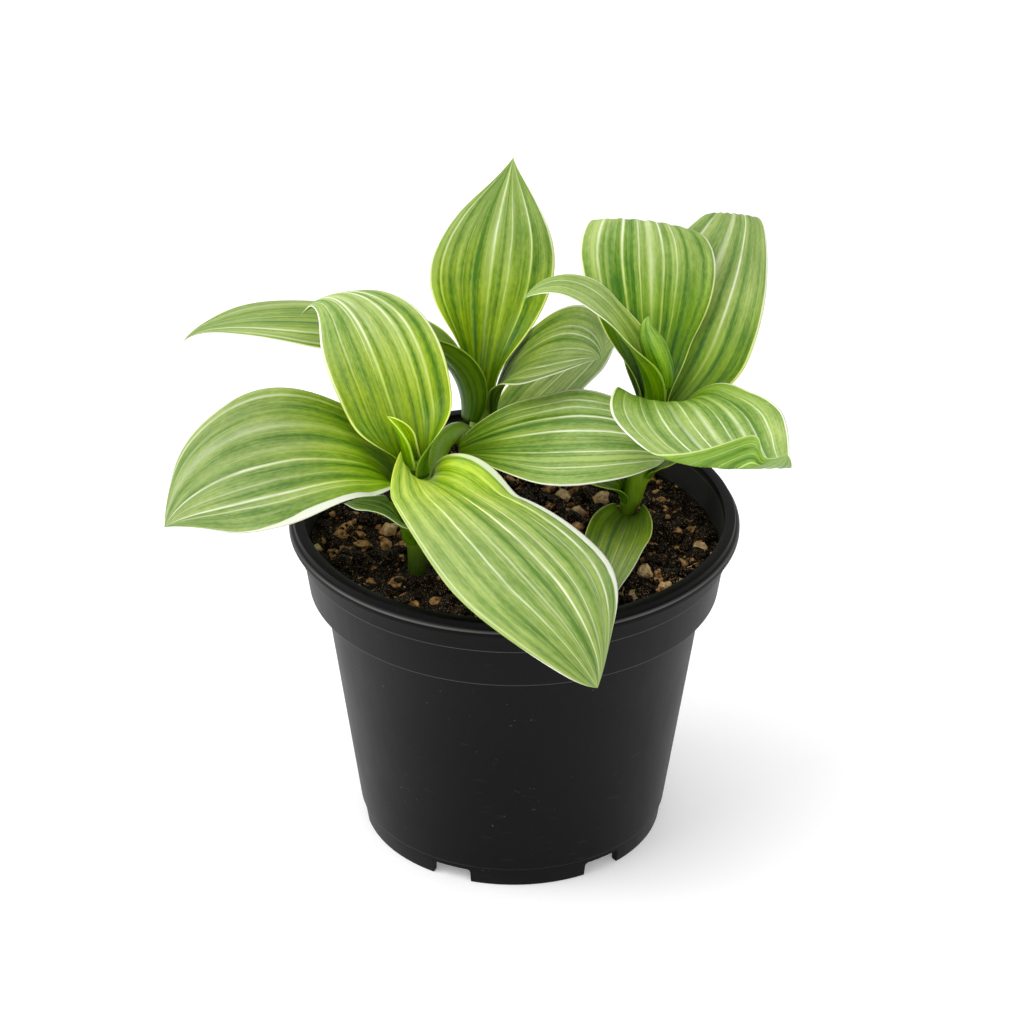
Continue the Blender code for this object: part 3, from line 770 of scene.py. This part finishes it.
LEAVES = (
    Leaf("left_leaf_low", 100, 215, 5, (-34, -24.5, 112.5), (-48, -24, 116), 14, widest=0.42, clasp=3.8,
         wrap=75, cup=(10, 0), opens=20, roll=(0, -12)),
    Leaf("left_leaf_big", 113, 181, 18, (-61.5, -21, 129), (-99, -21, 106), 46.5, widest=0.465,
         point=1.07, clasp=5.7, wrap=90, cup=(21, -16), opens=18, roll=(0, -33), swell=0.75),
    Leaf("left_leaf_front", 118.3, -70, 9, (-1.5, -52.5, 120.5), (23, -79, 90), 60, widest=0.54,
         clasp=5.0, wrap=95, cup=(0, -22), opens=20, roll=(0, 6), swell=0.68, pleat=0.22, wave=0.1),
    Leaf("left_leaf_back", 118, 91, 2, (-37, 2.5, 148), (-62, 24, 150.5), 34, widest=0.5, point=1.6,
         clasp=3.9, wrap=175, cup=(2, -25), opens=21, roll=(0, 46), swell=1.4, wave=0.2),
    Leaf("left_bud", 121, 160, 6, (-32, -12, 130), (-36, -13, 138), 10, clasp=2.95, wrap=130,
         cup=(110, 90), pleat=0.05, wave=0.0),
    Leaf("middle_leaf_low", 98, 35, 8, (14, 49, 118), (33, 57, 129), 28, clasp=4.4, cup=(15, 0)),
    Leaf("middle_leaf_left", 115, 197, 39, (-53, 32.5, 145.5), (-96, 24, 141.5), 45, widest=0.4,
         point=1.35, clasp=5.2, wrap=66, cup=(-13, 5), opens=58, roll=(0, -29), swell=0.92, wave=0.3),
    Leaf("middle_leaf_right", 116.5, -12, 22, (10, 22, 139.8), (24, 8.5, 145), 39, widest=0.6, clasp=4.6,
         wrap=46, cup=(27, 4), roll=(0, -3), swell=1.5, pleat=0.22, wave=0.2),
    Leaf("middle_leaf_up", 120, 100, 18.5, (-8, 45.5, 149.5), (-1, 44, 192), 37.5, widest=0.5, point=1.25,
         clasp=3.4, wrap=110, cup=(11, 17), opens=32, roll=(0, 7), swell=1.85, wave=0.3),
    Leaf("crossing_leaf", 108, -15, 3, (13.5, -1, 124.5), (43, -0.5, 118), 33.5, widest=0.48, point=0.8,
         clasp=3.0, wrap=60, cup=(7, -13), opens=30, roll=(17, 36), swell=0.87, start=(-16.0, 8.0, 115.0),
         pleat=0.2, wave=0.3),
    Leaf("right_leaf_low", 91.5, -88, 5, (27, -23.5, 97), (27.5, -39, 92), 19.5, widest=0.25, point=0.76,
         clasp=3.7, wrap=90, cup=(16, 0), opens=23, roll=(0, 3), swell=1.13, wave=0.2),
    Leaf("right_leaf_side", 97, 170, 8, (19, 13, 109), (10, 18, 124), 20, widest=0.5, clasp=3.8, wrap=80,
         cup=(30, 0), wave=0.2),
    Leaf("right_leaf_small", 105, -10, 4, (45, 10, 112), (50, 8, 113), 9, clasp=4.2, wrap=60, cup=(20, 0),
         pleat=0.08, wave=0.1),
    Leaf("right_leaf_front", 126.6, -69, 24, (52, -11.5, 132.7), (75, -36, 139), 57, widest=0.4,
         point=0.82, clasp=6.8, wrap=70, cup=(17, -2), opens=13.5, roll=(0, -15), swell=1.05, wave=0.2,
         fold=(-1, 0.42, 0.98, 0.75, 118)),
    Leaf("right_leaf_far", 121, 80, 7.5, (58, 49, 153), (55.5, 71, 148), 38, widest=0.3, point=1.08,
         clasp=3.8, wrap=75, cup=(8, -9), opens=14, roll=(0, -8), wave=0.3),
    Leaf("right_leaf_back", 127, 120, 4.3, (38.5, 34.5, 159.5), (35, 53, 155), 43, widest=0.56,
         point=1.05, clasp=4.6, wrap=80, cup=(3.5, -15), opens=20, roll=(0, -18), swell=1.5, wave=0.2),
    Leaf("right_leaf_left", 130, 185, 12, (27, 10.5, 157.5), (2, 5, 166), 20.5, widest=0.42, point=1.1,
         clasp=3.8, wrap=110, cup=(23, 9), opens=29, roll=(0, -8), wave=0.2),
    Leaf("right_bud", 135.5, -90, 8, (39, 10, 148), (38, 15, 156), 16, clasp=2.9, wrap=140, cup=(130, 90),
         pleat=0.1, wave=0.0),
)
print("leaves:", len(LEAVES))

# %% [markdown]
# The rib is one cubic curve that leaves the stem along its sheath. A flat direction is carried along it
# without twisting, which keeps the blade from corkscrewing, and the leaf's own roll is added to that.

# %% The rib
RIB_SAMPLES = 97


def ease(x):
    """Smooth step from 0 to 1."""
    x = min(max(x, 0.0), 1.0)
    return x * x * (3 - 2 * x)


def rib_frames(leaf):
    """Frames (share of the length, point, side, face) along a leaf's rib, and the rib's length."""
    heading = radians(leaf.heading)
    out = Vector((cos(heading), sin(heading), 0.0))
    if leaf.start is None:
        axis, along = STEMS[leaf.name.split("_")[0]].at_height(leaf.height)
        base = axis + out * leaf.clasp
    else:
        base = Vector(leaf.start)
        along = (out + UP).normalized()
    lift = base + along * leaf.rise
    middle, tip = Vector(leaf.middle), Vector(leaf.tip)
    reach = (8 * middle - base - tip) / 3 - lift
    points = interpolate_bezier(base, lift, reach, tip, RIB_SAMPLES)
    lengths = [0.0]
    for first, second in zip(points, points[1:]):
        lengths.append(lengths[-1] + (second - first).length)
    side = UP.cross(out)
    frames = []
    for point, tangent, reached in zip(points, headings(points), lengths):
        side = (side - tangent * side.dot(tangent)).normalized()
        face = tangent.cross(side)
        share = reached / lengths[-1]
        turn = radians(leaf.roll[0] + (leaf.roll[1] - leaf.roll[0]) * ease(share))
        rolled_side = side * cos(turn) + face * sin(turn)
        rolled_face = face * cos(turn) - side * sin(turn)
        frames.append((share, point, rolled_side, rolled_face))
    return frames, lengths[-1]


def frame_at(frames, share):
    """The point, side and face at this share of the rib's length."""
    for low, high in zip(frames, frames[1:]):
        if share <= high[0]:
            part = (share - low[0]) / (high[0] - low[0])
            return tuple(first.lerp(second, part) for first, second in zip(low[1:], high[1:]))
    return frames[-1][1:]


print("rib lengths in mm:", [round(rib_frames(leaf)[1]) for leaf in LEAVES])

# %% [markdown]
# Across the blade the section is an arc: nearly a full circle at the sheath, nearly flat further out. On
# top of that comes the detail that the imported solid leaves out: shallow pleats along the veins, a slight
# swing of the margins, and on one leaf a margin that is turned up.

# %% The blade's section
LATEST_OPENING = 0.8
FLAT_BEND = 0.1
PLEATS = 7
WAVES = 3.0
DETAIL_STARTS = 0.25
DETAIL_ENDS = 0.2
FOLD_ROUND = 1.6
FOLD_LATE = 2.6
FOLD_NARROW = 1.5


def half_width(leaf, share):
    """Half the blade's width at this share of its length, measured round its cross-section."""
    sheath = leaf.clasp * radians(leaf.wrap)
    widest = leaf.width / 2
    if share < leaf.widest:
        return sheath + (widest - sheath) * sin(pi / 2 * share / leaf.widest) ** leaf.swell
    closing = (share - leaf.widest) / (1 - leaf.widest)
    return widest * max(cos(pi / 2 * closing), 0.0) ** leaf.point


def half_angle(leaf, length, share):
    """Angle that each half of the cross-section bends through, from the sheath to the tip."""
    opened = min(leaf.opens / length, LATEST_OPENING)
    if share < opened:
        degrees = leaf.wrap + (leaf.cup[0] - leaf.wrap) * ease(share / opened)
    else:
        degrees = leaf.cup[0] + (leaf.cup[1] - leaf.cup[0]) * ease((share - opened) / (1 - opened))
    return radians(degrees if abs(degrees) > FLAT_BEND else FLAT_BEND)


def fold_start(leaf, share):
    """How far across the blade the turned-up margin begins, or 1 where there is none."""
    if leaf.fold is None:
        return 1.0
    first, last, depth = leaf.fold[1:4]
    inside = min(max((share - first) / (last - first), 0.0), 1.0)
    return 1 - depth * sin(pi * inside ** FOLD_LATE) ** FOLD_NARROW


def section_point(leaf, length, share, across, seed):
    """Place on the section, sideways and up, and its upward normal as the same pair."""
    angle = half_angle(leaf, length, share)
    half = half_width(leaf, share)
    radius = half / angle
    start = fold_start(leaf, share)
    way = leaf.fold[0] if leaf.fold else 1
    folded = across * way > start
    bent = angle * (start * way if folded else across)
    sideways, lifted = radius * sin(bent), radius * (1 - cos(bent))
    lean = bent
    if folded:
        past = (abs(across) - start) * half
        full = radians(leaf.fold[4])
        turned = full * min(past / FOLD_ROUND, 1.0)
        bend = FOLD_ROUND / full
        out_step, up_step = bend * sin(turned), bend * (1 - cos(turned))
        if past > FOLD_ROUND:
            out_step += (past - FOLD_ROUND) * cos(full)
            up_step += (past - FOLD_ROUND) * sin(full)
        sideways += way * (out_step * cos(bent) - up_step * sin(bent) * way)
        lifted += out_step * sin(bent) * way + up_step * cos(bent)
        lean += way * turned
    normal = (-sin(lean), cos(lean))
    open_part = ease(share / DETAIL_STARTS) * ease((1 - share) / DETAIL_ENDS)
    pleat = leaf.pleat * cos(pi * PLEATS * across + seed) * (1 - across ** 4)
    swing = leaf.wave * sin(2 * pi * WAVES * share + seed + 1.5 * across) * abs(across) ** 3
    rise = (pleat + swing) * open_part
    return sideways + normal[0] * rise, lifted + normal[1] * rise, normal


# %% [markdown]
# The blade is one grid wrapped into a flat tube: the first half of the grid's width is the upper face, the
# second half runs back along the underside, and both meet at the two margins, where the thickness runs
# out. Its UV map keeps that order, U round the section and V from foot to tip.

# %% Blade mesh
BLADE_THICKNESS = 0.55
TIP_THINS = 12
BLADE_CELLS = (96, 96)
BUD_CELLS = (56, 48)
SMALL_WIDTH = 17.0
CROWDING = 0.45


def crowd(part):
    """Crowd the grid's lines towards the margins, where the blade is thin and curved."""
    half, within = divmod(part * 2, 1.0)
    if part >= 1.0:
        half, within = 1.0, 1.0
    across = 2 * within - 1
    across = (1 - CROWDING) * across + CROWDING * (1.5 * across - 0.5 * across ** 3)
    return (half + (across + 1) / 2) / 2


def build_blade(leaf, seed):
    """One leaf as a closed thin tube, with its UV map."""
    frames, length = rib_frames(leaf)
    cells_round, cells_along = BUD_CELLS if leaf.width < SMALL_WIDTH else BLADE_CELLS
    bm = bmesh.new()
    bmesh.ops.create_grid(bm, x_segments=cells_round, y_segments=cells_along, size=1.0)
    uv = bm.loops.layers.uv.new("blade")
    for face in bm.faces:
        for loop in face.loops:
            loop[uv].uv = (crowd((loop.vert.co.x + 1) / 2), (loop.vert.co.y + 1) / 2)
    rows = {}
    for vert in bm.verts:
        part, share = crowd((vert.co.x + 1) / 2), (vert.co.y + 1) / 2
        key = round(share, 5)
        if key not in rows:
            rows[key] = frame_at(frames, share)
        point, side, face = rows[key]
        across = 1 - abs(4 * part - 2)
        sideways, lifted, normal = section_point(leaf, length, share, across, seed)
        half = BLADE_THICKNESS / 2 * sqrt(max(1 - across ** 10, 0.0))
        half *= min(1.0, TIP_THINS * (1 - share))
        if part > 0.5:
            half = -half
        spot = point + side * (sideways + normal[0] * half) + face * (lifted + normal[1] * half)
        vert.co = place(*spot)
    bmesh.ops.remove_doubles(bm, verts=bm.verts, dist=MERGE)
    close_up(bm)
    return bm


# %% [markdown]
# ## Stripes
#
# Close to the stem the blade is a glowing yellow-green with deep green bands. Further out it turns to a
# greyer green, and the pale lines turn from lime to cream. Three layers make it: noise stretched along the
# veins for the soft bands and the hair lines, ramps for the few strong stripes of each leaf, and a pale
# margin. The eye knows the strong stripes by their place, so each leaf lists its own.

# %% Stripe lists
@dataclass
class Stripes:
    """A leaf's strong stripes, as (place across, half width, strength) in per cent, and its margins."""
    pale: tuple = ((-45, 3, 60), (10, 2.5, 80), (50, 3, 60))
    dark: tuple = ((-65, 8, 60), (-20, 7, 70), (30, 7, 70), (70, 8, 60))
    margin: tuple = (0.03, 0.03)  # width of the pale line at each margin, against the half width
    band: tuple = (1, 0.0, 1.0, 0.0)  # wider white margin: side, from, to and width
    green: float = 0.5  # share of the length that stays yellow-green
    light: float = 1.0  # painted light and shade: how much lighter or darker this leaf is painted than the others
    near: tuple = (1.0, 1.0, 1.0)  # tint of its yellow-green part
    foot: tuple = (0.56, 0.66, 0.32)  # painted light and shade at its foot, as a tint
    tip: tuple = (1.0, 1.0, 1.0)  # tint of its tip


STRIPES = {
    "left_leaf_big": Stripes(
        pale=((-90, 2, 60), (-50, 9, 28), (5, 2.5, 100), (30, 2, 40), (52, 2.8, 95), (62, 1.5, 50)),
        dark=((-75, 7, 60), (-28, 9, 80), (13, 5, 80), (40, 5, 50), (73, 7, 80)),
        band=(1, -0.1, 0.66, 0.11), green=0.4, light=0.72, foot=(1.0, 1.15, 0.35)),
    "left_leaf_back": Stripes(
        pale=((-62, 2.8, 100), (-40, 3.2, 100), (0, 8, 30), (16, 3.6, 100), (24, 1.2, 70), (60, 2, 50)),
        dark=((-50, 6, 90), (-80, 8, 60), (45, 9, 80), (76, 7, 80), (-20, 7, 50)),
        margin=(0.045, 0.045), green=0.52, near=(1.12, 1.04, 0.5)),
    "left_leaf_front": Stripes(
        pale=((-96, 1.5, 50), (-44, 1.8, 70), (-20, 2, 40), (11, 2.2, 100), (32, 1.8, 70), (60, 1.5, 40),
              (73, 2.4, 100)),
        dark=((-82, 5, 50), (-66, 8, 90), (-4, 4.5, 100), (45, 5, 70), (88, 5, 70), (22, 4, 40)),
        margin=(0.02, 0.03), band=(1, 0.0, 0.88, 0.075), green=0.17, foot=(1.5, 1.42, 0.85),
        tip=(0.7, 0.74, 0.5)),
    "left_leaf_low": Stripes(green=0.4, light=1.4),
    "left_bud": Stripes(
        pale=((10, 4, 30),),
        dark=((-40, 10, 40), (50, 10, 40)),
        margin=(0.12, 0.12), green=1.3, light=1.4),
    "middle_leaf_up": Stripes(
        pale=((-62, 2.4, 100), (-28, 1.8, 60), (0, 4.5, 75), (45, 1.5, 40), (81, 2.6, 80)),
        dark=((-74, 6, 70), (-45, 6, 50), (-15, 5, 80), (24, 7, 70), (66, 7, 80)),
        margin=(0.045, 0.03), green=0.58, light=1.16, near=(1.04, 1.0, 0.6), foot=(0.46, 0.55, 0.18)),
    "middle_leaf_left": Stripes(
        pale=((-62, 10, 30), (5, 2, 60), (60, 4, 80), (88, 3, 50)),
        dark=((-35, 7, 80), (-12, 6, 80), (25, 8, 90)),
        green=0.66, light=0.82),
    "middle_leaf_right": Stripes(
        pale=((-70, 2, 60), (-38, 2.4, 80), (10, 2, 60), (45, 2, 70), (60, 2.2, 80)),
        dark=((-84, 5, 80), (-52, 5, 80), (-12, 6, 80), (30, 6, 80), (53, 3, 80), (80, 6, 80)),
        margin=(0.05, 0.03), green=0.55, light=0.66),
    "middle_leaf_low": Stripes(margin=(0.07, 0.04), light=0.8),
    "crossing_leaf": Stripes(
        pale=((-62, 2.2, 80), (-28, 2.4, 80), (15, 2.6, 100), (45, 2.6, 100), (64, 1.8, 70),
              (78, 2, 80)),
        dark=((-80, 6, 60), (-52, 4, 80), (-38, 4, 80), (-14, 5, 80), (36, 5, 80), (90, 5, 60)),
        green=0.3),
    "right_leaf_low": Stripes(green=0.55, light=0.8),
    "right_leaf_side": Stripes(green=0.85),
    "right_leaf_small": Stripes(pale=((10, 3, 30),), green=0.9),
    "right_leaf_front": Stripes(
        pale=((-81, 1.4, 70), (-58, 1, 60), (-36, 1.8, 90), (-16, 4.5, 36), (-3, 1.4, 90), (14, 4.5, 42),
              (30, 1.4, 80), (47, 3, 45), (60, 1.4, 60), (78, 1.4, 70)),
        dark=((-70, 5, 50), (-48, 5, 60), (-20, 5, 60), (24, 3, 60), (41, 4, 60), (63, 5, 60)),
        green=0.16, light=1.16),
    "right_leaf_far": Stripes(
        pale=((-40, 2.8, 100), (2, 10, 35), (62, 5, 50)),
        dark=((-56, 6, 80), (-25, 6, 80), (28, 7, 70), (-80, 6, 50)),
        margin=(0.04, 0.03), green=0.42, light=0.84, near=(0.85, 0.95, 0.8)),
    "right_leaf_back": Stripes(
        pale=((-40, 2, 60), (-20, 2.8, 95), (-3, 6, 40), (15, 2, 80), (40, 3.2, 100), (75, 3, 60)),
        dark=((-80, 6, 80), (-57, 6, 80), (-30, 4, 80), (27, 4, 70), (57, 7, 70)),
        green=0.56, light=0.98, near=(0.66, 0.82, 0.6), foot=(0.34, 0.46, 0.1)),
    "right_leaf_left": Stripes(
        pale=((-50, 3.5, 90), (10, 3, 70), (55, 3, 60)),
        dark=((-75, 7, 60), (-20, 8, 70), (32, 7, 70)),
        margin=(0.04, 0.06), green=0.45, foot=(0.8, 0.88, 0.25)),
    "right_bud": Stripes(
        pale=((-30, 2.5, 40), (20, 2.5, 50)),
        dark=((-60, 7, 90), (-5, 7, 90), (50, 7, 90)),
        margin=(0.06, 0.06), green=0.6, light=1.42, near=(1.0, 1.0, 0.7)),
}
print("leaves with stripes of their own:", len(STRIPES))
STOP_GAP = 0.0005


def stripe_stops(stripes):
    """Ramp stops for stripes across the blade: nothing, a peak, nothing."""
    stops = [(0.0, 0.0)]
    for middle, half, strength in sorted(stripes):
        for position, level in ((middle - half, 0), (middle, strength), (middle + half, 0)):
            position = (position / 100 + 1) / 2
            stops.append((max(position, stops[-1][0] + STOP_GAP), level / 100))
    stops.append((1.0, 0.0))
    return stops


# %% [markdown]
# The finish reads the place across and the share of the length back from the UV map. Everything that
# varies ends in the colour, the roughness or the bump. Some light spreads inside the blade, which is why
# young leaves seem lit from within.

# %% Leaf finish
SEED_STEP = 7.3
WHITE = (1.0, 1.0, 1.0, 1.0)


def leaf_skin(leaf, seed):
    """Striped leaf: yellow-green to grey-green, with pale lines, dark bands and pale margins."""
    stripes = STRIPES.get(leaf.name, Stripes())
    material, start = new_material("leaf_" + leaf.name)
    uv = start.node("UVMap", {}, uv_map="blade")
    part = uv.axis(0)
    share = uv.axis(1)
    across = 1 - abs(part * 4 - 2)
    under = part > 0.5

    def lanes(across_scale, along_scale, detail, shift):
        sockets = {0: across * across_scale, 1: share * along_scale, 2: seed * SEED_STEP + shift}
        return start.node("CombineXYZ", sockets).noise(1, detail)

    wander = across + (lanes(3, 5, 1, 20) - 0.5) * 0.045
    broad = lanes(5, 0.9, 1, 0)
    bands = lanes(13, 1.4, 1, 3)
    hairs = lanes(46, 2.4, 2, 6)
    fine = lanes(95, 5, 2, 40)
    mottle = lanes(30, 42, 3, 9)
    patches = lanes(3.5, 7, 2, 50)
    dark = (wander * 0.5 + 0.5).ramp(stripe_stops(stripes.dark))
    pale = (wander * 0.5 + 0.5).ramp(stripe_stops(stripes.pale))

    tone = 0.6 + (broad - 0.5) * 1.1 + (bands - 0.5) * 1.1 + (hairs - 0.5) * 0.7
    tone = tone + (fine - 0.5) * 0.6 + (mottle - 0.5) * 0.85 + (patches - 0.5) * 0.8
    tone = (tone - dark * 0.62).clip()
    near = tone.mix(colour(62, 110, 0), colour(156, 182, 4)).times(stripes.near + (1.0,))
    far = tone.mix(colour(92, 128, 50), colour(164, 184, 104))
    reach = share + (bands - 0.5) * 0.35 + (broad - 0.5) * 0.3
    reach = reach.step(stripes.green - 0.28, stripes.green + 0.22)
    green = reach.mix(near, far)
    cream = reach.mix(colour(198, 216, 100), colour(226, 234, 200))
    patchy = lanes(9, 7, 2, 12).step(0.3, 0.55)
    lines = (pale * 1.25).clip() * (0.5 + patchy * 0.5) * share.step(0.02, 0.3) * (0.8 + reach * 0.2)
    lines = lines + (hairs.step(0.60, 0.72) * 0.14 + fine.step(0.62, 0.74) * 0.14) * reach
    # Painted light and shade at the foot of each leaf, from its foot tint.
    ends = share.step(0.04, 0.5).mix(stripes.foot + (1.0,), WHITE)
    ends = share.step(0.6, 1.0).mix(ends, stripes.tip + (1.0,))
    base = lines.clip().mix(green, cream).times(ends)
    left, right = stripes.margin
    side, first, last, wide = stripes.band
    edge_place = across + (lanes(4, 9, 2, 15) - 0.5) * 0.02
    window = share.step(first, first + 0.12) * (1 - share.step(last - 0.3, last))
    edge_place = edge_place + window * (lanes(2, 14, 2, 30) * 0.5 + 0.75) * (wide * side)
    margin = edge_place.step(1 - right * 1.25, 1 - right * 0.75)
    margin = (margin + (edge_place * -1).step(1 - left * 1.25, 1 - left * 0.75)).clip()
    white = (reach + window * wide * 12).clip().mix(colour(208, 222, 112), colour(228, 232, 212))
    base = (margin * (0.6 + 0.4 * share.step(0.05, 0.3))).mix(base, white)
    # Painted light and shade: each leaf is made lighter or darker by its own factor, for the light on it.
    base = base.times((stripes.light, stripes.light, stripes.light, 1.0))
    base = under.mix(base, base.times(colour(195, 215, 150)))
    roughness = 0.42 + (hairs - 0.5) * 0.25 + (mottle - 0.5) * 0.12
    height = hairs * 0.5 + bands * 0.8 + mottle * 0.12 - lines * 0.12
    return finish_material(material, base, roughness, (height, 0.5, 0.3 * MM), {
        "Subsurface Weight": 0.22, "Subsurface Radius": (0.9, 1.0, 0.25), "Subsurface Scale": 0.9 * MM,
        "Specular IOR Level": 0.22})


for seed, leaf in enumerate(LEAVES):
    blade = add_object(leaf.name + "_blade", finish_mesh(build_blade(leaf, seed)))
    blade.data.shade_smooth()
    dress(blade, leaf.name, leaf_skin(leaf, seed))

# %% [markdown]
# ## Light and floor
#
# The photograph was lit for a catalogue: big soft boxes above, at the left and in front, and only a faint
# shadow on the right. Large area lights do the same. A small lamp would give the leaves hard shadows that
# the photograph doesn't have. The paper glows a little, as if it were lit from below, so it stays white.

# %% Light and floor
LIGHTS = (  # name, place, height that it is aimed at above the pot's foot, size, power
    ("key", (-650, -400, 900), 80, 700, 5.5),
    ("top", (-100, 300, 1100), 80, 900, 3.0),
    ("left", (-900, 100, 350), 60, 500, 2.8),
    ("front", (250, -1000, 420), 110, 800, 2.6),
)
WORLD_STRENGTH = 0.82
FLOOR_GLOW = 0.21
FLOOR_HALF = 4.0


def floor_finish():
    """Matt white paper, barely mottled."""
    material, start = new_material("floor_paper")
    cloud = object_place(start).noise(3)
    base = cloud.mix(colour(236, 236, 236), colour(241, 241, 241))
    return finish_material(material, base, 0.7 + cloud * 0.1, (cloud, 0.02, 0.1 * MM), {
        "Emission Color": WHITE, "Emission Strength": FLOOR_GLOW})


bm = bmesh.new()
bmesh.ops.create_grid(bm, x_segments=2, y_segments=2, size=FLOOR_HALF)
floor = add_object("floor", finish_mesh(bm))
floor.data.materials.append(floor_finish())
for name, spot, aim_height, size, power in LIGHTS:
    lamp = bpy.data.lights.new(name, "AREA")
    lamp.size = size * MM
    lamp.energy = power
    light = add_object(name, lamp)
    light.location = place(*spot)
    light.rotation_euler = (place(0, 0, aim_height) - place(*spot)).to_track_quat("-Z", "Y").to_euler()
world = bpy.data.worlds.new("studio")
world.use_nodes = True
backdrop = world.node_tree.nodes["Background"]
backdrop.inputs["Color"].default_value = WHITE
backdrop.inputs["Strength"].default_value = WORLD_STRENGTH
bpy.context.scene.world = world
bpy.context.scene.view_settings.view_transform = "Standard"
print("lights:", ", ".join(row[0] for row in LIGHTS))
